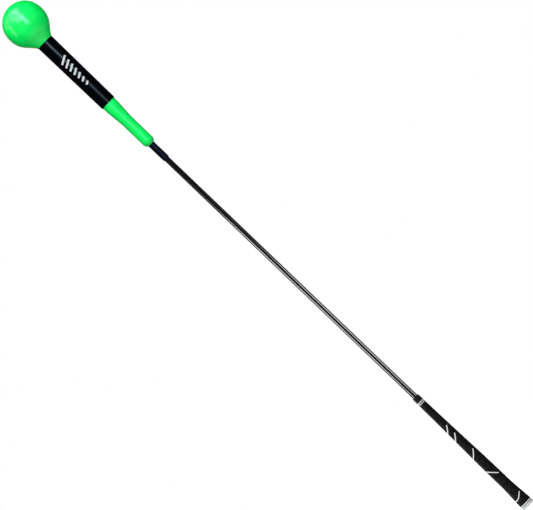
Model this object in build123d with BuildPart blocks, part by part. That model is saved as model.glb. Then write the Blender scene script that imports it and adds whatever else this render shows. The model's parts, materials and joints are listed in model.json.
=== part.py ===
from build123d import *
from math import acos, degrees, sqrt
import os

# Swing trainer stick, 48 in long, standing on the butt of its grip. The shaft runs up +Z from the origin,
# which is the centre of the butt face, and the weighted ball is at the top. All sizes are in millimetres.
# The front, with the mark on the sleeve, faces -Y, and the stripes of the grip wrap round its -X side.
# Every turned piece is a half section, drawn in the XZ plane with x as radius, revolved about Z.

# ---- Driving dimensions --------------------------------------------------------------------------
TOTAL_LENGTH = 1219.0
SHAFT_RADIUS = 5.0

# Heights along the stick
CAP_FLANGE_TOP = 1.9
COUNTERWEIGHT_BOTTOM = 5.0
BUTT_BAND_TOP = 7.6
SHAFT_BUTT_END = 52.0
GRIP_TOP = 249.0
MOUTH_RING_TOP = 254.4
COLLAR_TOP = 265.6
FERRULE_BOTTOM = 848.7
TAIL_BOTTOM = 884.9
SLEEVE_BOTTOM = 984.6
SLEEVE_TOP = 1133.6

# Grip: outer edge as (radius, height) points of one smooth curve, from the butt to the mouth
GRIP_EDGE = [(12.0, BUTT_BAND_TOP), (10.8, 28), (9.75, 48), (9.5, 76), (8.35, 148), (6.8, GRIP_TOP)]
GRIP_BORE_BUTT = 7.4
GRIP_BORE_MOUTH = 5.4
VENT_RADIUS = 1.5
BUTT_CORE_RADIUS = 10.0
BUTT_RIB_RADIUS = 11.0
BUTT_RIB_HEIGHT = 1.1
BUTT_EDGE_FILLET = 1.3
RING_EDGE_FILLET = 0.35
SPIGOT_DEPTH = 4.5
SPIGOT_RADIUS = 5.9
MOUTH_RING_GROOVE_WIDTH = 1.6
MOUTH_RING_GROOVE_DEPTH = 0.35
COLLAR_TIP_RADIUS = 6.6
COLLAR_TIP_CHAMFER = 0.9

# Paint-filled stripes of the grip as smooth curves through (x, height) points, seen from the front; each
# runs past the -X edge
STRIPE_DEPTH = 0.5
STRIPE_WIDTH = 1.7
STRIPE_PATHS = [
    [(1.9, 194.5), (-3.4, 187.0), (-9.5, 180.0)],
    [(2.0, 175.6), (-3.8, 168.1), (-9.6, 161.8)],
    [(4.2, 135.0), (-2.0, 127.6), (-10.4, 120.2)],
    [(4.9, 75.2), (-2.0, 82.7), (-11.0, 92.6)],
    [(6.2, 28.7), (2.5, 25.3), (-2.0, 21.9), (-6.5, 20.0), (-13.0, 19.9)],
]

# Head
FERRULE_RADIUS = 6.2
FERRULE_LIP_FILLET = 0.9
FERRULE_HIDDEN = 15.0
TAIL_RADIUS = 10.75
TAIL_MOUTH_RADIUS = 6.8
TAIL_ROUND_HEIGHT = 8.6
TAIL_FLARE_START = 935.0
TAIL_TOP_RADIUS = 13.5
SLEEVE_BOTTOM_RADIUS = 14.8
SLEEVE_TOP_RADIUS = 15.75
SLEEVE_WALL = 1.2
SLEEVE_LOWER_FILLET = 1.1
SLEEVE_UPPER_FILLET = 0.3
CORE_TAIL_RADIUS = 9.0
CORE_TAIL_LENGTH = 35.0
CORE_NECK_RADIUS = 11.0
BALL_RADIUS = 39.0
BALL_BELT = 3.6
BALL_WALL = 5.0
BALL_BLEND_RADIUS = 28.9
NECK_WAIST = [(22.6, 1143.1), (17.6, 1136.6)]
NECK_RADIUS = 16.1
NECK_LEAN = 0.3
CAVITY_FLOOR = 1145.0
WEIGHT_RADIUS = 16.0
WEIGHT_LENGTH = 34.0
WEIGHT_CHAMFER = 1.0
PIN_RADIUS = 1.5
PIN_LENGTH = 30.0

# Plain mark on the front of the sleeve: slanted bars that get shorter towards the tail
MARK_DEPTH = 0.3
MARK_BARS = 7
MARK_FIRST = 1034.0
MARK_PITCH = 9.2
MARK_BAR_WIDTH = 3.4
MARK_SHORTEST = 7.0
MARK_GROWTH = 1.7
MARK_SLANT = 28.0

# Flexing shaft: the bare shaft bends at evenly spaced centres, each between two ball-shaped end faces
FLEX_COUNT = 6
FLEX_FIRST = 315.0
FLEX_PITCH = 97.0
FLEX_BALL_RADIUS = 1.5 * SHAFT_RADIUS
FLEX_CLEARANCE = 0.05

# ---- Derived sizes -------------------------------------------------------------------------------
ball_upper_centre = TOTAL_LENGTH - BALL_RADIUS
ball_lower_centre = ball_upper_centre - BALL_BELT
ball_middle = (ball_upper_centre + ball_lower_centre) / 2
weight_bottom = ball_middle - WEIGHT_LENGTH / 2
weight_top = ball_middle + WEIGHT_LENGTH / 2
core_tail_bottom = SLEEVE_BOTTOM - CORE_TAIL_LENGTH
ferrule_top = TAIL_BOTTOM + FERRULE_HIDDEN
spigot_bottom = GRIP_TOP - SPIGOT_DEPTH
rib_bottom = (CAP_FLANGE_TOP + BUTT_BAND_TOP - BUTT_RIB_HEIGHT) / 2
rib_top = rib_bottom + BUTT_RIB_HEIGHT
butt_radius = GRIP_EDGE[0][0]
mouth_radius = GRIP_EDGE[-1][0]
cut_reach = 2 * BALL_RADIUS

os.makedirs("parts", exist_ok=True)


def save(piece, label):
    """Label a finished piece and write it as parts/label.step."""
    piece.part.label = label
    export_step(piece.part, f"parts/{label}.step")


def tube_corners(inner, outer, bottom, top):
    """Return the corners of a straight tube's half section as a closed path."""
    return [(inner, bottom), (outer, bottom), (outer, top), (inner, top), (inner, bottom)]


def edges_at(piece, radius, height):
    """Return the circular edges of a turned piece that have this radius and height."""
    return [
        edge
        for edge in piece.edges().filter_by(GeomType.CIRCLE)
        if abs(edge.radius - radius) < 1e-3 and abs(edge.center().Z - height) < 1e-3
    ]


# ---- Grip ----------------------------------------------------------------------------------------
def grip_edge_at(depth):
    """Return the grip's outer edge points, moved inwards by a depth."""
    return [(radius - depth, height) for radius, height in GRIP_EDGE]


# The layer under the grip's surface that the stripes fill
with BuildPart() as grip_skin:
    with BuildSketch(Plane.XZ):
        with BuildLine():
            outer_edge = Spline(*grip_edge_at(0))
            inner_edge = Spline(*grip_edge_at(STRIPE_DEPTH))
            Line(outer_edge @ 0, inner_edge @ 0)
            Line(outer_edge @ 1, inner_edge @ 1)
        make_face()
    revolve(axis=Axis.Z)

# White stripes: each path cut straight through the stick, so a stripe starts on the front, wraps round the
# -X side and ends on the back
with BuildPart() as grip_stripes:
    for stripe_path in STRIPE_PATHS:
        with BuildSketch(Plane.XZ):
            with BuildLine():
                Spline(*stripe_path)
            trace(line_width=STRIPE_WIDTH)
        extrude(amount=cut_reach, both=True)
    add(grip_skin.part, mode=Mode.INTERSECT)
save(grip_stripes, "grip_stripes")

# Rubber body: a straight bore at the butt, a bore that follows the tape, and a seat for the collar's spigot
with BuildPart() as grip_body:
    with BuildSketch(Plane.XZ):
        with BuildLine():
            Spline(*grip_edge_at(0))
            Polyline(
                (mouth_radius, GRIP_TOP),
                (SPIGOT_RADIUS, GRIP_TOP),
                (SPIGOT_RADIUS, spigot_bottom),
                (GRIP_BORE_MOUTH, spigot_bottom),
                (GRIP_BORE_BUTT, SHAFT_BUTT_END),
                (GRIP_BORE_BUTT, BUTT_BAND_TOP),
                (butt_radius, BUTT_BAND_TOP),
            )
        make_face()
    revolve(axis=Axis.Z)
    add(grip_stripes.part, mode=Mode.SUBTRACT)
save(grip_body, "grip_body")

# End cap with a vent: a rounded flange, and a core that carries two rings with a rib between them and has a
# socket for the end of the counterweight
with BuildPart() as butt_cap:
    with BuildSketch(Plane.XZ):
        with BuildLine():
            Polyline(
                (VENT_RADIUS, 0),
                (butt_radius, 0),
                (butt_radius, CAP_FLANGE_TOP),
                (BUTT_CORE_RADIUS, CAP_FLANGE_TOP),
                (BUTT_CORE_RADIUS, rib_bottom),
                (BUTT_RIB_RADIUS, rib_bottom),
                (BUTT_RIB_RADIUS, rib_top),
                (BUTT_CORE_RADIUS, rib_top),
                (BUTT_CORE_RADIUS, BUTT_BAND_TOP),
                (GRIP_BORE_BUTT, BUTT_BAND_TOP),
                (GRIP_BORE_BUTT, COUNTERWEIGHT_BOTTOM),
                (VENT_RADIUS, COUNTERWEIGHT_BOTTOM),
                close=True,
            )
        make_face()
    revolve(axis=Axis.Z)
    fillet(edges_at(butt_cap.part, butt_radius, 0), BUTT_EDGE_FILLET)
save(butt_cap, "butt_cap")

# Two white rings that snap round the cap's core, below and above its rib
for ring_label, ring_bottom, ring_top in [
    ("butt_ring_lower", CAP_FLANGE_TOP, rib_bottom),
    ("butt_ring_upper", rib_top, BUTT_BAND_TOP),
]:
    with BuildPart() as butt_ring:
        with BuildSketch(Plane.XZ):
            with BuildLine():
                Polyline(*tube_corners(BUTT_CORE_RADIUS, butt_radius, ring_bottom, ring_top))
            make_face()
        revolve(axis=Axis.Z)
        for ring_height in (ring_bottom, ring_top):
            fillet(edges_at(butt_ring.part, butt_radius, ring_height), RING_EDGE_FILLET)
    save(butt_ring, ring_label)

# Steel slug that balances the head: it fills the grip's straight bore and locates the cap by its socket
with BuildPart() as butt_counterweight:
    with BuildSketch(Plane.XZ):
        with BuildLine():
            Polyline(*tube_corners(0, GRIP_BORE_BUTT, COUNTERWEIGHT_BOTTOM, SHAFT_BUTT_END))
        make_face()
    revolve(axis=Axis.Z)
    for slug_end in (COUNTERWEIGHT_BOTTOM, SHAFT_BUTT_END):
        chamfer(edges_at(butt_counterweight.part, GRIP_BORE_BUTT, slug_end), WEIGHT_CHAMFER)
save(butt_counterweight, "butt_counterweight")

# Build-up tape wound on the shaft, thick at the butt and thin at the mouth
with BuildPart() as grip_tape:
    with BuildSketch(Plane.XZ):
        with BuildLine():
            Polyline(
                (SHAFT_RADIUS, SHAFT_BUTT_END),
                (GRIP_BORE_BUTT, SHAFT_BUTT_END),
                (GRIP_BORE_MOUTH, spigot_bottom),
                (SHAFT_RADIUS, spigot_bottom),
                close=True,
            )
        make_face()
    revolve(axis=Axis.Z)
save(grip_tape, "grip_tape")

# Silver ring at the mouth: two lips with a flat groove between them
with BuildPart() as mouth_ring:
    with BuildSketch(Plane.XZ):
        with BuildLine():
            Polyline(*tube_corners(SPIGOT_RADIUS, mouth_radius, GRIP_TOP, MOUTH_RING_TOP))
        make_face()
    revolve(axis=Axis.Z)
    for ring_height in (GRIP_TOP, MOUTH_RING_TOP):
        fillet(edges_at(mouth_ring.part, mouth_radius, ring_height), RING_EDGE_FILLET)
    with BuildSketch(Plane.XZ):
        with Locations((mouth_radius, (GRIP_TOP + MOUTH_RING_TOP) / 2)):
            Rectangle(2 * MOUTH_RING_GROOVE_DEPTH, MOUTH_RING_GROOVE_WIDTH)
    revolve(axis=Axis.Z, mode=Mode.SUBTRACT)
save(mouth_ring, "mouth_ring")

# Black collar whose spigot passes under the ring into the grip
with BuildPart() as mouth_collar:
    with BuildSketch(Plane.XZ):
        with BuildLine():
            Polyline(
                (SHAFT_RADIUS, spigot_bottom),
                (SPIGOT_RADIUS, spigot_bottom),
                (SPIGOT_RADIUS, MOUTH_RING_TOP),
                (mouth_radius, MOUTH_RING_TOP),
                (COLLAR_TIP_RADIUS, COLLAR_TOP),
                (SHAFT_RADIUS, COLLAR_TOP),
                close=True,
            )
        make_face()
    revolve(axis=Axis.Z)
    chamfer(edges_at(mouth_collar.part, COLLAR_TIP_RADIUS, COLLAR_TOP), COLLAR_TIP_CHAMFER)
save(mouth_collar, "mouth_collar")

# ---- Cross pin of the head weight ----------------------------------------------------------------
with BuildPart() as weight_pin:
    with BuildSketch(Plane.YZ.offset(-PIN_LENGTH / 2)):
        with Locations((0, ball_middle)):
            Circle(PIN_RADIUS)
    extrude(amount=PIN_LENGTH)
save(weight_pin, "weight_pin")

# ---- Shaft ---------------------------------------------------------------------------------------
flex_centres = [FLEX_FIRST + FLEX_PITCH * index for index in range(FLEX_COUNT)]
section_labels = ["shaft_butt"] + [f"shaft_flex_{index}" for index in range(1, FLEX_COUNT)] + ["shaft_tip"]


def end_face(centre, radius):
    """Draw the half section of a ball-shaped end face, from the shaft's surface to its axis."""
    rim_angle = degrees(acos(SHAFT_RADIUS / radius))
    return CenterArc((0, centre), radius, rim_angle, 90 - rim_angle)


# One rod in sections: domed tops and matching hollow bottoms share the bending centres
for index, section_label in enumerate(section_labels):
    is_first = index == 0
    is_last = index == FLEX_COUNT
    with BuildPart() as shaft_section:
        with BuildSketch(Plane.XZ):
            with BuildLine():
                if is_first:
                    lower = Line((SHAFT_RADIUS, SHAFT_BUTT_END), (0, SHAFT_BUTT_END))
                else:
                    lower = end_face(flex_centres[index - 1], FLEX_BALL_RADIUS + FLEX_CLEARANCE)
                if is_last:
                    upper = Line((SHAFT_RADIUS, weight_top), (0, weight_top))
                else:
                    upper = end_face(flex_centres[index], FLEX_BALL_RADIUS)
                Line(lower @ 0, upper @ 0)
                Line(lower @ 1, upper @ 1)
            make_face()
        revolve(axis=Axis.Z)
        if is_last:
            add(weight_pin.part, mode=Mode.SUBTRACT)
    save(shaft_section, section_label)

# ---- Head, from the shaft to the ball ------------------------------------------------------------
# Ferrule: a black tube on the shaft, its upper end hidden in the tail cover
with BuildPart() as ferrule:
    with BuildSketch(Plane.XZ):
        with BuildLine():
            Polyline(*tube_corners(SHAFT_RADIUS, FERRULE_RADIUS, FERRULE_BOTTOM, ferrule_top))
        make_face()
    revolve(axis=Axis.Z)
    fillet(edges_at(ferrule.part, FERRULE_RADIUS, FERRULE_BOTTOM), FERRULE_LIP_FILLET)
save(ferrule, "ferrule")

# Tail cover: a round nose, a straight waist and a smooth flare, bored for ferrule, shaft and core
with BuildPart() as tail_cover:
    with BuildSketch(Plane.XZ):
        with BuildLine():
            nose_end = (TAIL_RADIUS, TAIL_BOTTOM + TAIL_ROUND_HEIGHT)
            nose = TangentArc(nose_end, (TAIL_MOUTH_RADIUS, TAIL_BOTTOM), tangent=(0, -1))
            waist = Line(nose_end, (TAIL_RADIUS, TAIL_FLARE_START))
            flare = Spline(waist @ 1, (TAIL_TOP_RADIUS, SLEEVE_BOTTOM), tangents=[(0, 1), (0, 1)])
            Polyline(
                flare @ 1,
                (CORE_TAIL_RADIUS, SLEEVE_BOTTOM),
                (CORE_TAIL_RADIUS, core_tail_bottom),
                (SHAFT_RADIUS, core_tail_bottom),
                (SHAFT_RADIUS, ferrule_top),
                (FERRULE_RADIUS, ferrule_top),
                (FERRULE_RADIUS, TAIL_BOTTOM),
                nose @ 1,
            )
        make_face()
    revolve(axis=Axis.Z)
save(tail_cover, "tail_cover")

# Stiff core on the shaft: a spigot in the tail, a tapered middle under the sleeve, a spigot in the neck
with BuildPart() as head_core:
    with BuildSketch(Plane.XZ):
        with BuildLine():
            Polyline(
                (SHAFT_RADIUS, core_tail_bottom),
                (CORE_TAIL_RADIUS, core_tail_bottom),
                (CORE_TAIL_RADIUS, SLEEVE_BOTTOM),
                (SLEEVE_BOTTOM_RADIUS - SLEEVE_WALL, SLEEVE_BOTTOM),
                (SLEEVE_TOP_RADIUS - SLEEVE_WALL, SLEEVE_TOP),
                (CORE_NECK_RADIUS, SLEEVE_TOP),
                (CORE_NECK_RADIUS, CAVITY_FLOOR),
                (SHAFT_RADIUS, CAVITY_FLOOR),
                close=True,
            )
        make_face()
    revolve(axis=Axis.Z)
save(head_core, "head_core")


def sleeve_section(depth):
    """Return the half section of the sleeve's outer layer of a given depth as a closed path."""
    return [
        (SLEEVE_BOTTOM_RADIUS - depth, SLEEVE_BOTTOM),
        (SLEEVE_BOTTOM_RADIUS, SLEEVE_BOTTOM),
        (SLEEVE_TOP_RADIUS, SLEEVE_TOP),
        (SLEEVE_TOP_RADIUS - depth, SLEEVE_TOP),
        (SLEEVE_BOTTOM_RADIUS - depth, SLEEVE_BOTTOM),
    ]


# Mark: slanted bars on the front, let into the surface of the sleeve
with BuildPart() as sleeve_mark:
    with BuildSketch(Plane.XZ):
        for index in range(MARK_BARS):
            with Locations((0, MARK_FIRST + MARK_PITCH * index)):
                Rectangle(MARK_SHORTEST + MARK_GROWTH * index, MARK_BAR_WIDTH, rotation=MARK_SLANT)
    extrude(amount=cut_reach)
    with BuildSketch(Plane.XZ) as mark_layer:
        with BuildLine():
            Polyline(*sleeve_section(MARK_DEPTH))
        make_face()
    revolve(axis=Axis.Z, mode=Mode.INTERSECT)
save(sleeve_mark, "sleeve_mark")

# Black sleeve drawn over the core, its edges rounded where it overlaps the tail and meets the neck
with BuildPart() as label_sleeve:
    with BuildSketch(Plane.XZ):
        with BuildLine():
            Polyline(*sleeve_section(SLEEVE_WALL))
        make_face()
    revolve(axis=Axis.Z)
    fillet(edges_at(label_sleeve.part, SLEEVE_BOTTOM_RADIUS, SLEEVE_BOTTOM), SLEEVE_LOWER_FILLET)
    fillet(edges_at(label_sleeve.part, SLEEVE_TOP_RADIUS, SLEEVE_TOP), SLEEVE_UPPER_FILLET)
    add(sleeve_mark.part, mode=Mode.SUBTRACT)
save(label_sleeve, "label_sleeve")


# ---- Ball ----------------------------------------------------------------------------------------
def ball_arcs(radius, lower_radius):
    """Draw two quarter-like arcs with the belt between them, from the top down to lower_radius."""
    lower_angle = degrees(acos(lower_radius / radius))
    crown = CenterArc((0, ball_upper_centre), radius, 90, -90)
    lower_arc = CenterArc((0, ball_lower_centre), radius, 0, -lower_angle)
    Line(crown @ 1, lower_arc @ 0)
    return crown, lower_arc


cavity_radius = BALL_RADIUS - BALL_WALL
floor_radius = sqrt(cavity_radius**2 - (ball_lower_centre - CAVITY_FLOOR) ** 2)

# Green cover: a ball that blends into its neck, hollow for the cast core
with BuildPart() as ball_cover:
    with BuildSketch(Plane.XZ):
        with BuildLine():
            outer_crown, outer_lower = ball_arcs(BALL_RADIUS, BALL_BLEND_RADIUS)
            neck = Spline(
                outer_lower @ 1,
                *NECK_WAIST,
                (NECK_RADIUS, SLEEVE_TOP),
                tangents=[outer_lower % 1, (-NECK_LEAN, -1)],
            )
            inner_crown, inner_lower = ball_arcs(cavity_radius, floor_radius)
            Polyline(
                neck @ 1,
                (CORE_NECK_RADIUS, SLEEVE_TOP),
                (CORE_NECK_RADIUS, CAVITY_FLOOR),
                inner_lower @ 1,
            )
            Line(inner_crown @ 0, outer_crown @ 0)
        make_face()
    revolve(axis=Axis.Z)
save(ball_cover, "ball_cover")

# Steel weight on the end of the shaft, cross drilled for its pin
with BuildPart() as ball_weight:
    with BuildSketch(Plane.XZ):
        with BuildLine():
            Polyline(*tube_corners(SHAFT_RADIUS, WEIGHT_RADIUS, weight_bottom, weight_top))
        make_face()
    revolve(axis=Axis.Z)
    for weight_end in (weight_bottom, weight_top):
        chamfer(edges_at(ball_weight.part, WEIGHT_RADIUS, weight_end), WEIGHT_CHAMFER)
    add(weight_pin.part, mode=Mode.SUBTRACT)
save(ball_weight, "ball_weight")

# Cast core that fills the cover round the weight and the shaft
with BuildPart() as ball_core:
    with BuildSketch(Plane.XZ):
        with BuildLine():
            core_crown, core_lower = ball_arcs(cavity_radius, floor_radius)
            Polyline(core_lower @ 1, (0, CAVITY_FLOOR), core_crown @ 0)
        make_face()
    revolve(axis=Axis.Z)
    for filled in (ball_weight.part, weight_pin.part):
        add(filled, mode=Mode.SUBTRACT)
    with BuildSketch(Plane.XY.offset(CAVITY_FLOOR)):
        Circle(SHAFT_RADIUS)
    extrude(amount=weight_top - CAVITY_FLOOR, mode=Mode.SUBTRACT)
save(ball_core, "ball_core")
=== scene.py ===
import json
import math

import bpy
from mathutils import Matrix, Vector


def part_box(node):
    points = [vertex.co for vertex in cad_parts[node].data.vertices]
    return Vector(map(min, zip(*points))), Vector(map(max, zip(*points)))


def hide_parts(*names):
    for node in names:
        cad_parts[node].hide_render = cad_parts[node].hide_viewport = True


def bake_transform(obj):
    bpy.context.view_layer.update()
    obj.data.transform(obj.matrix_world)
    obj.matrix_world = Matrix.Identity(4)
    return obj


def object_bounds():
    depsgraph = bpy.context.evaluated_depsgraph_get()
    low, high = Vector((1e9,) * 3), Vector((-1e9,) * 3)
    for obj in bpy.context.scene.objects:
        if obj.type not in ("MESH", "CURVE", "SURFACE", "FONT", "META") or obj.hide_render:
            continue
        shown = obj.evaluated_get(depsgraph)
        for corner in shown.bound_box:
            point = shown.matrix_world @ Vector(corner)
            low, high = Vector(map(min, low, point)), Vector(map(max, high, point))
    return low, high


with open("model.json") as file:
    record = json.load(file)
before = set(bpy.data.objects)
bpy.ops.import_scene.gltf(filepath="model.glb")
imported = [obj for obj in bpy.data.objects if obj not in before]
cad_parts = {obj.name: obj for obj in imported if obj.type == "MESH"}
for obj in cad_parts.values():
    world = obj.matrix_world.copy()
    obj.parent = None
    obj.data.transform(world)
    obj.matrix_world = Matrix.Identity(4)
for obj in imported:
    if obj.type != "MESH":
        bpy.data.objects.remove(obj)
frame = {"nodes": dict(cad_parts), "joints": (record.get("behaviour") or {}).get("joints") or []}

cad_low, cad_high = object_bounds()

# ---- Sizes, in metres ----------------------------------------------------------------------------
PICTURE_SPAN = 0.9029          # what the picture's width covers at the stick
STICK_SLOPE = 43.75            # degrees: how far the stick's line in the picture falls from the ball
CENTRE_OFFSET = (0.0034, -0.0022)   # how far the stick's middle is right of and above the picture's
CAMERA_LENS = 280.0            # millimetres
CAMERA_REACH = 50.0            # nothing beyond this is drawn

FLOOR_RADIUS = 1.7
FLOOR_INNER_RING = 0.02
FLOOR_RINGS = 12
FLOOR_COLUMNS = 96
FLOOR_FADE_START = 0.5         # the floor fades out from this radius to its edge

SHAFT_COLUMNS = 64
SHAFT_ROW = 0.003
TONGUE_STEP = 0.00004          # a tongue on each shaft piece but the last reaches inside the next one,
TONGUE_LENGTH = 0.0006         # so that no crack opens between them when the shaft bends
AXIS_RADIUS = 1e-7             # a smaller radius is a point on the axis

# The mouth ring's dark below the next radius is painted shade in its groove.
GROOVE_SHADE_RADIUS = 0.00662        # the mouth ring is dark below this radius,
LIP_RADIUS = 0.00668           # and in its own colour above this one
CAP_BLACK_RADIUS = 0.0111      # the end cap is black below this radius,
CAP_RIM_RADIUS = 0.0114        # and pale above this one, on its rim

# ---- Levels and colours --------------------------------------------------------------------------
FRONT_FILL = 0.90              # the world's diffuse light from the front and above,
BACK_FILL = 0.0                # and from behind
FILL_DIRECTION = (0.0, -0.86, 0.5)
FILL_START = -0.35             # the cosine to that direction at which the fill begins
GLOSSY_LEVEL = 0.012           # what reflections see of the world
BACKDROP_LEVEL = 1.0           # what the camera sees of it
FLOOR_GREY = (0.45, 0.45, 0.45, 1.0)
FLOOR_GLOW = 0.92

WHITE = (1.0, 1.0, 1.0)
PALE_BLUE = (0.7, 0.85, 1.0)
SKY_BLUE = (0.6, 0.8, 1.0)
HIGH_BLUE = (0.5, 0.74, 1.0)
LOW_BLUE = (0.5, 0.72, 1.0)
PALE_YELLOW = (1.0, 1.0, 0.8)
YELLOW = (1.0, 1.0, 0.7)
CYAN = (0.3, 0.95, 1.0)

# Sockets of the Mix node, whose names repeat
MIX_FACTOR, MIX_FLOAT_A, MIX_FLOAT_B, MIX_COLOUR_A, MIX_COLOUR_B = 0, 2, 3, 6, 7
MIX_FLOAT_RESULT, MIX_COLOUR_RESULT = 0, 2


# ---- Mesh helpers --------------------------------------------------------------------------------
def lathe(name, outlines, columns):
    """Turn outlines of (radius, height) points about Z into a mesh that is smooth along each of them
    and has an edge where one ends and the next begins. A zero radius is a point on the axis."""
    vertices, faces = [], []
    for outline in outlines:
        rings = []
        for radius, height in outline:
            if radius < AXIS_RADIUS:
                rings.append([len(vertices)])
                vertices.append((0.0, 0.0, height))
                continue
            rings.append(list(range(len(vertices), len(vertices) + columns)))
            for column in range(columns):
                angle = 2 * math.pi * column / columns
                vertices.append((radius * math.cos(angle), radius * math.sin(angle), height))
        for lower, upper in zip(rings, rings[1:]):
            for column in range(columns):
                following = (column + 1) % columns
                corners = [lower[column % len(lower)], lower[following % len(lower)],
                           upper[following % len(upper)], upper[column % len(upper)]]
                faces.append(list(dict.fromkeys(corners)))
    mesh = bpy.data.meshes.new(name)
    mesh.from_pydata(vertices, [], faces)
    mesh.update()
    mesh.shade_smooth()
    piece = bpy.data.objects.new(name, mesh)
    bpy.context.scene.collection.objects.link(piece)
    return piece


def steps(first, last, count):
    """Return count + 1 evenly spaced values from first to last."""
    return [first + (last - first) * index / count for index in range(count + 1)]


# ---- Material helpers ----------------------------------------------------------------------------
def principled(name, colour, roughness, **inputs):
    """Make a material with one Principled shader and return it with its node tree and shader."""
    material = bpy.data.materials.new(name)
    material.use_nodes = True
    tree = material.node_tree
    shader = tree.nodes["Principled BSDF"]
    shader.inputs["Base Color"].default_value = (*colour, 1.0)
    shader.inputs["Roughness"].default_value = roughness
    for label, value in inputs.items():
        shader.inputs[label.replace("_", " ")].default_value = value
    return material, tree, shader


def noise(tree, scale, detail=4.0, roughness=0.55, stretch=(1.0, 1.0, 1.0)):
    """Add a noise texture in the object's own space, in features per metre, and return its value."""
    coordinates = tree.nodes.new("ShaderNodeTexCoord")
    mapping = tree.nodes.new("ShaderNodeMapping")
    mapping.inputs["Scale"].default_value = stretch
    texture = tree.nodes.new("ShaderNodeTexNoise")
    texture.inputs["Scale"].default_value = scale
    texture.inputs["Detail"].default_value = detail
    texture.inputs["Roughness"].default_value = roughness
    tree.links.new(coordinates.outputs["Object"], mapping.inputs["Vector"])
    tree.links.new(mapping.outputs["Vector"], texture.inputs["Vector"])
    return texture.outputs["Fac"]


def ramp(tree, value, stops):
    """Map a value through colour stops of (position, colour) and return the colour."""
    node = tree.nodes.new("ShaderNodeValToRGB")
    elements = node.color_ramp.elements
    while len(elements) < len(stops):
        elements.new(0.5)
    for element, (position, colour) in zip(elements, stops):
        element.position = position
        element.color = (*colour, 1.0)
    tree.links.new(value, node.inputs["Fac"])
    return node.outputs["Color"]


def rescale(tree, value, low, high, from_low=0.0, from_high=1.0):
    """Map a value linearly from one range onto another, clamped, and return it."""
    node = tree.nodes.new("ShaderNodeMapRange")
    node.inputs["From Min"].default_value = from_low
    node.inputs["From Max"].default_value = from_high
    node.inputs["To Min"].default_value = low
    node.inputs["To Max"].default_value = high
    tree.links.new(value, node.inputs["Value"])
    return node.outputs["Result"]


def bump(tree, shader, heights):
    """Chain bumps of (height value, depth in metres) onto the shader's normal."""
    normal = None
    for height, distance in heights:
        node = tree.nodes.new("ShaderNodeBump")
        node.inputs["Distance"].default_value = distance
        tree.links.new(height, node.inputs["Height"])
        if normal is not None:
            tree.links.new(normal, node.inputs["Normal"])
        normal = node.outputs["Normal"]
    tree.links.new(normal, shader.inputs["Normal"])


# ---- Materials -----------------------------------------------------------------------------------
def green_rubber():
    """Vivid green polyurethane: faint clouding, a satin skin with handling marks, fine orange peel."""
    material, tree, shader = principled("green_rubber", (0.001, 0.80, 0.098), 0.2,
                                        Specular_IOR_Level=0.8)
    clouds = noise(tree, 55.0, 3.0, 0.6)
    colour = ramp(tree, clouds, [(0.35, (0.0008, 0.75, 0.088)), (0.65, (0.0018, 0.85, 0.108))])
    tree.links.new(colour, shader.inputs["Base Color"])
    marks = noise(tree, 240.0, 6.0, 0.7)
    tree.links.new(rescale(tree, marks, 0.15, 0.24, 0.35, 0.65), shader.inputs["Roughness"])
    bump(tree, shader, [(noise(tree, 900.0, 2.0), 0.00001), (clouds, 0.00006)])
    return material


def black_gloss():
    """Black shrunk sleeve: near black with a blue cast, faint waviness, and gloss that dust dulls."""
    material, tree, shader = principled("black_gloss", (0.0008, 0.0012, 0.0026), 0.25,
                                        Specular_IOR_Level=0.5)
    dust = noise(tree, 700.0, 5.0, 0.7)
    tree.links.new(rescale(tree, dust, 0.2, 0.34, 0.45, 0.72), shader.inputs["Roughness"])
    waves = noise(tree, 60.0, 2.0, 0.5, (1.0, 1.0, 0.35))
    bump(tree, shader, [(waves, 0.00004)])
    return material


def glossy_rod():
    """Black pultruded rod: clear gloss over faint lengthwise fibre lines."""
    material, tree, shader = principled("glossy_rod", (0.004, 0.004, 0.0045), 0.2,
                                        Specular_IOR_Level=0.6)
    fibres = noise(tree, 1500.0, 3.0, 0.6, (1.0, 1.0, 0.01))
    tree.links.new(rescale(tree, fibres, 0.11, 0.20, 0.35, 0.65), shader.inputs["Roughness"])
    bump(tree, shader, [(fibres, 0.000002)])
    return material


def matt_rubber():
    """Matt black grip rubber: a fine pebbled grain, brown-black mottling, and patches worn smoother."""
    material, tree, shader = principled("matt_rubber", (0.005, 0.0045, 0.0047), 0.68,
                                        Specular_IOR_Level=0.15)
    mottling = noise(tree, 260.0, 3.0, 0.6)
    colour = ramp(tree, mottling, [(0.40, (0.0015, 0.0014, 0.0015)), (0.60, (0.0120, 0.0098, 0.0105))])
    tree.links.new(colour, shader.inputs["Base Color"])
    wear = noise(tree, 45.0, 5.0, 0.65)
    tree.links.new(rescale(tree, wear, 0.55, 0.80, 0.3, 0.7), shader.inputs["Roughness"])
    bump(tree, shader, [(noise(tree, 1400.0, 4.0, 0.7), 0.00015)])
    return material


def satin(name, colour, roughness, grain, specular=0.5):
    """Plain moulded plastic or paint with a little unevenness in tone, sheen and surface."""
    material, tree, shader = principled(name, colour, roughness, Specular_IOR_Level=specular)
    uneven = noise(tree, 300.0, 4.0, 0.6)
    darker = tuple(0.86 * channel for channel in colour)
    tree.links.new(ramp(tree, uneven, [(0.35, darker), (0.6, colour)]), shader.inputs["Base Color"])
    tree.links.new(rescale(tree, uneven, roughness - 0.06, roughness + 0.1, 0.3, 0.7),
                   shader.inputs["Roughness"])
    bump(tree, shader, [(noise(tree, 1600.0, 3.0), grain)])
    return material


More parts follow.
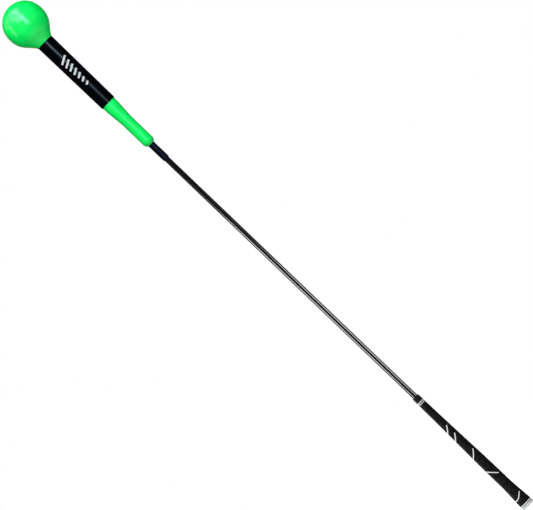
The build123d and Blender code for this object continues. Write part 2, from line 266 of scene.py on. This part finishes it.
def darker_inside(material, inner_colour, inner_radius, outer_radius):
    """Give a material another colour within inner_radius of the stick's axis, and its own colour from
    outer_radius on, with a blend between the two."""
    tree = material.node_tree
    shader = tree.nodes["Principled BSDF"]
    outer_colour = shader.inputs["Base Color"].links[0].from_socket
    coordinates = tree.nodes.new("ShaderNodeTexCoord")
    flat = tree.nodes.new("ShaderNodeVectorMath")
    flat.operation = "MULTIPLY"
    flat.inputs[1].default_value = (1.0, 1.0, 0.0)
    radius = tree.nodes.new("ShaderNodeVectorMath")
    radius.operation = "LENGTH"
    mix = tree.nodes.new("ShaderNodeMix")
    mix.data_type = "RGBA"
    mix.inputs[MIX_COLOUR_A].default_value = (*inner_colour, 1.0)
    tree.links.new(coordinates.outputs["Object"], flat.inputs[0])
    tree.links.new(flat.outputs["Vector"], radius.inputs[0])
    share = rescale(tree, radius.outputs["Value"], 0.0, 1.0, inner_radius, outer_radius)
    tree.links.new(share, mix.inputs[MIX_FACTOR])
    tree.links.new(outer_colour, mix.inputs[MIX_COLOUR_B])
    tree.links.new(mix.outputs[MIX_COLOUR_RESULT], shader.inputs["Base Color"])
    return material


GREEN = green_rubber()
SLEEVE_BLACK = black_gloss()
ROD_BLACK = glossy_rod()
GRIP_BLACK = matt_rubber()
# Near-black ferrule whose blue tint is partly a painted bluish sheen.
FERRULE_BLACK_PAINTED_SHEEN = satin("ferrule_black", (0.0008, 0.0042, 0.0120), 0.32, 0.00001, 0.4)
COLLAR_BLACK = satin("collar_black", (0.010, 0.0098, 0.0098), 0.6, 0.00004, 0.2)
RING_WHITE = satin("ring_white", (0.86, 0.86, 0.86), 0.4, 0.00003)
# The mouth ring's groove bottom is painted dark, as shade in that recess.
RING_GROOVE_SHADED = darker_inside(satin("ring_lipped", (0.62, 0.62, 0.63), 0.4, 0.00002),
                            (0.08, 0.078, 0.08), GROOVE_SHADE_RADIUS, LIP_RADIUS)
CAP_RIMMED = darker_inside(satin("cap_rimmed", (0.64, 0.64, 0.64), 0.5, 0.00004, 0.2),
                           (0.010, 0.0098, 0.0098), CAP_BLACK_RADIUS, CAP_RIM_RADIUS)
STRIPE_WHITE = satin("stripe_white", (0.92, 0.92, 0.91), 0.5, 0.00004)
MARK_WHITE = satin("mark_white", (0.95, 0.96, 0.97), 0.35, 0.00002)
CORE_NYLON = satin("core_nylon", (0.62, 0.61, 0.56), 0.45, 0.00004)
CORE_CAST = satin("core_cast", (0.10, 0.10, 0.10), 0.6, 0.0001)
TAPE_PAPER = satin("tape_paper", (0.66, 0.58, 0.42), 0.8, 0.0001)
STEEL = satin("steel", (0.50, 0.50, 0.51), 0.3, 0.00002)
STEEL.node_tree.nodes["Principled BSDF"].inputs["Metallic"].default_value = 1.0

NODE_MATERIALS = {
    GREEN: ["ball_cover", "tail_cover"],
    SLEEVE_BLACK: ["label_sleeve"],
    GRIP_BLACK: ["grip_body"],
    FERRULE_BLACK_PAINTED_SHEEN: ["ferrule"],
    COLLAR_BLACK: ["mouth_collar"],
    CAP_RIMMED: ["butt_cap"],
    RING_WHITE: ["butt_ring_lower", "butt_ring_upper"],
    RING_GROOVE_SHADED: ["mouth_ring"],
    STRIPE_WHITE: ["grip_stripes"],
    MARK_WHITE: ["sleeve_mark"],
    CORE_NYLON: ["head_core"],
    CORE_CAST: ["ball_core"],
    TAPE_PAPER: ["grip_tape"],
    STEEL: ["ball_weight", "weight_pin", "butt_counterweight"],
}
for material, node_names in NODE_MATERIALS.items():
    for node_name in node_names:
        materials = frame["nodes"][node_name].data.materials
        materials.clear()
        materials.append(material)

# ---- Shaft: one rod, in a piece per hinge ---------------------------------------------------------
# The pieces meet halfway between the hinges. A bent rod runs outside the straight line between two
# hinges there, by an eighth of their spacing times the mean of their turns.
shaft_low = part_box("shaft_butt")[0].z
shaft_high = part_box("shaft_tip")[1].z
shaft_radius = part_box("shaft_butt")[1].x
hinges = frame["joints"]
hinge_heights = [hinge["pos_m"][2] for hinge in hinges]
half_pitch = (hinge_heights[1] - hinge_heights[0]) / 2
cuts = [shaft_low] + [height + half_pitch for height in hinge_heights[:-1]] + [shaft_high]
shaft_sections = ["shaft_butt"] + [f"shaft_flex_{index}" for index in range(1, len(hinges))] + ["shaft_tip"]
shaft_pieces = []
for index, hinge in enumerate(hinges):
    last = index == len(hinges) - 1
    bottom, top = cuts[index], cuts[index + 1]
    corners = [(0.0, bottom), (shaft_radius, bottom), (shaft_radius, top)]
    if not last:
        tongue_radius = shaft_radius - TONGUE_STEP
        tongue_top = top + TONGUE_LENGTH
        corners += [(tongue_radius, top), (tongue_radius, tongue_top)]
    corners.append((0.0, corners[-1][1]))
    outlines = []
    for (radius, height), (next_radius, next_height) in zip(corners, corners[1:]):
        rows = max(1, round((next_height - height) / SHAFT_ROW))
        outlines.append(list(zip(steps(radius, next_radius, rows), steps(height, next_height, rows))))
    piece = lathe(f"shaft_piece_{index + 1}", outlines, SHAFT_COLUMNS)
    piece.data.materials.append(ROD_BLACK)
    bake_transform(piece)
    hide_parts(*(shaft_sections[index:] if last else [shaft_sections[index]]))
    shaft_pieces.append(piece)


# ---- Floor ---------------------------------------------------------------------------------------
def floor_white():
    """Grey floor that glows white to the camera, and fades out towards its edge."""
    material = bpy.data.materials.new("floor_white")
    material.use_nodes = True
    tree = material.node_tree
    tree.nodes.clear()
    coordinates = tree.nodes.new("ShaderNodeTexCoord")
    length = tree.nodes.new("ShaderNodeVectorMath")
    length.operation = "LENGTH"
    diffuse = tree.nodes.new("ShaderNodeBsdfDiffuse")
    diffuse.inputs["Color"].default_value = FLOOR_GREY
    glow = tree.nodes.new("ShaderNodeEmission")
    seen = tree.nodes.new("ShaderNodeLightPath")
    tree.links.new(rescale(tree, seen.outputs["Is Camera Ray"], 0.0, FLOOR_GLOW), glow.inputs["Strength"])
    lit = tree.nodes.new("ShaderNodeAddShader")
    clear = tree.nodes.new("ShaderNodeBsdfTransparent")
    mixed = tree.nodes.new("ShaderNodeMixShader")
    output = tree.nodes.new("ShaderNodeOutputMaterial")
    tree.links.new(coordinates.outputs["Object"], length.inputs[0])
    faded = rescale(tree, length.outputs["Value"], 0.0, 1.0, FLOOR_FADE_START, FLOOR_RADIUS)
    tree.links.new(faded, mixed.inputs["Fac"])
    tree.links.new(diffuse.outputs["BSDF"], lit.inputs[0])
    tree.links.new(glow.outputs["Emission"], lit.inputs[1])
    tree.links.new(lit.outputs["Shader"], mixed.inputs[1])
    tree.links.new(clear.outputs["BSDF"], mixed.inputs[2])
    tree.links.new(mixed.outputs["Shader"], output.inputs["Surface"])
    return material


floor_rings = [(radius, 0.0) for radius in steps(FLOOR_INNER_RING, FLOOR_RADIUS, FLOOR_RINGS)]
floor = lathe("floor", [[(0.0, 0.0)] + floor_rings], FLOOR_COLUMNS)
floor.data.materials.append(floor_white())


# ---- World ---------------------------------------------------------------------------------------
def studio():
    """White to the camera, nearly black in reflections, and a diffuse fill that is strongest in front."""
    world = bpy.data.worlds.new("studio")
    world.use_nodes = True
    world.cycles.sampling_method = "NONE"
    tree = world.node_tree
    background = tree.nodes["Background"]
    background.inputs["Color"].default_value = (*WHITE, 1.0)
    path = tree.nodes.new("ShaderNodeLightPath")
    direction = tree.nodes.new("ShaderNodeTexCoord")
    facing = tree.nodes.new("ShaderNodeVectorMath")
    facing.operation = "DOT_PRODUCT"
    facing.inputs[1].default_value = FILL_DIRECTION
    tree.links.new(direction.outputs["Generated"], facing.inputs[0])
    strength = rescale(tree, facing.outputs["Value"], BACK_FILL, FRONT_FILL, FILL_START, 1.0)
    for ray, level in (("Is Glossy Ray", GLOSSY_LEVEL), ("Is Camera Ray", BACKDROP_LEVEL)):
        switch = tree.nodes.new("ShaderNodeMix")
        switch.inputs[MIX_FLOAT_B].default_value = level
        tree.links.new(path.outputs[ray], switch.inputs[MIX_FACTOR])
        tree.links.new(strength, switch.inputs[MIX_FLOAT_A])
        strength = switch.outputs[MIX_FLOAT_RESULT]
    tree.links.new(strength, background.inputs["Strength"])
    return world


bpy.context.scene.world = studio()


# ---- Lights --------------------------------------------------------------------------------------
def softbox(name, position, target, size, watts, colour, receivers=None, diffuse=True, glossy=True):
    """Add a rectangular light of (width, height) that faces a target. With receivers it lights only
    those pieces. Without diffuse it is seen only in reflections, and without glossy it isn't."""
    data = bpy.data.lights.new(name, "AREA")
    data.shape = "RECTANGLE"
    data.size, data.size_y = size
    data.energy = watts
    data.color = colour
    light = bpy.data.objects.new(name, data)
    light.location = position
    light.rotation_euler = (Vector(target) - Vector(position)).to_track_quat("-Z", "Y").to_euler()
    light.visible_camera = False
    light.visible_diffuse = diffuse
    light.visible_glossy = glossy
    bpy.context.scene.collection.objects.link(light)
    if receivers:
        group = bpy.data.collections.new(f"{name}_receivers")
        for piece in receivers:
            group.objects.link(piece)
        light.light_linking.receiver_collection = group


def nodes_named(*names):
    """Return the CAD objects of these nodes."""
    return [frame["nodes"][name] for name in names]


def axis_point(height):
    """Return the point on the stick's axis at a height."""
    return Vector((0.0, 0.0, height))


ball_middle = sum(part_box("ball_cover"), Vector()) / 2


def from_ball(x, y, z):
    """Return the place at this offset from the middle of the ball."""
    return ball_middle + Vector((x, y, z))


grip_pieces = nodes_named("grip_body", "grip_stripes", "butt_ring_lower", "butt_ring_upper", "butt_cap",
                          "mouth_ring", "mouth_collar")
ball_pieces = nodes_named("ball_cover")
tail_pieces = nodes_named("tail_cover")
head_pieces = nodes_named("ball_cover", "label_sleeve", "tail_cover", "ferrule")
other_pieces = [node for name, node in frame["nodes"].items() if name != "ball_cover"] + shaft_pieces

softbox("overhead", from_ball(-0.22, -0.45, 1.5), ball_middle, (1.3, 1.8), 16.0, PALE_BLUE)
softbox("upper_front", from_ball(-0.20, -1.3, 0.9), ball_middle, (1.0, 0.9), 7.0, PALE_BLUE, ball_pieces)
softbox("overhead_edge", from_ball(0.25, -0.8, 1.3), ball_middle, (0.42, 2.0), 9.0, SKY_BLUE)
softbox("front_high", (0.30, -1.5, 1.7), axis_point(1.7), (0.45, 1.1), 10.0, HIGH_BLUE, head_pieces)
softbox("front_low", (0.30, -1.5, 0.97), axis_point(0.97), (0.45, 0.34), 0.6, LOW_BLUE, head_pieces)
softbox("left_side", (-1.35, -0.64, 0.45), axis_point(0.45), (1.1, 0.54), 22.0, WHITE, shaft_pieces)
softbox("right_side", (1.25, -0.81, 0.38), axis_point(0.38), (0.9, 0.42), 14.0, WHITE, shaft_pieces)
softbox("left_band", (-1.45, -0.3, 1.65), ball_middle, (0.4, 1.0), 2.0, PALE_YELLOW, ball_pieces)
softbox("left_high", from_ball(-1.0, 0.3, 1.1), ball_middle, (1.0, 1.0), 2.5, YELLOW, ball_pieces)
softbox("tail_front", (-0.1, -1.3, 1.6), axis_point(0.93), (0.7, 0.7), 8.0, WHITE, tail_pieces, glossy=False)
softbox("tail_streak", (-0.06, -1.5, 0.93), axis_point(0.93), (0.12, 0.8), 2.4, CYAN, tail_pieces,
        diffuse=False)
softbox("back", (0.3, 1.6, 3.6), axis_point(0.6), (1.5, 1.5), 8.0, WHITE, other_pieces)
softbox("ball_back", (0.5, 1.8, 1.3), ball_middle, (0.6, 0.6), 1.5, WHITE, ball_pieces)
softbox("ball_under", from_ball(0.1, -0.4, -0.95), ball_middle, (0.9, 0.9), 2.6, WHITE, ball_pieces,
        glossy=False)
softbox("back_left", (-0.59, 1.38, 0.75), axis_point(0.75), (0.12, 1.4), 0.4, WHITE)
softbox("back_right", (0.59, 1.38, 0.75), axis_point(0.75), (0.12, 1.4), 0.4, WHITE)
softbox("grip_front", (-0.5, -1.4, 0.6), axis_point(0.1), (0.6, 0.6), 8.0, WHITE, grip_pieces)
softbox("grip_edge", (-1.4, 0.5, 0.2), axis_point(0.15), (0.6, 0.6), 12.0, WHITE, grip_pieces)

# ---- Camera --------------------------------------------------------------------------------------
camera_data = bpy.data.cameras.new("camera")
camera_data.lens = CAMERA_LENS
camera_data.sensor_fit = "HORIZONTAL"
camera_data.clip_end = CAMERA_REACH
camera = bpy.data.objects.new("camera", camera_data)
bpy.context.scene.collection.objects.link(camera)
slope = math.radians(STICK_SLOPE)
picture_right = Vector((math.sin(slope), 0.0, -math.cos(slope)))
picture_up = Vector((math.cos(slope), 0.0, math.sin(slope)))
stick_middle = (cad_low + cad_high) / 2
distance = PICTURE_SPAN * CAMERA_LENS / camera_data.sensor_width
aim = stick_middle - CENTRE_OFFSET[0] * picture_right - CENTRE_OFFSET[1] * picture_up
turn = Matrix((picture_right, picture_up, Vector((0.0, -1.0, 0.0)))).transposed()
camera.matrix_world = Matrix.Translation(aim - Vector((0.0, distance, 0.0))) @ turn.to_4x4()
bpy.context.scene.camera = camera
bpy.context.scene.view_settings.view_transform = "Standard"

# ---- Update the view layer, then the end -----------------------------------------------------------
bpy.context.view_layer.update()
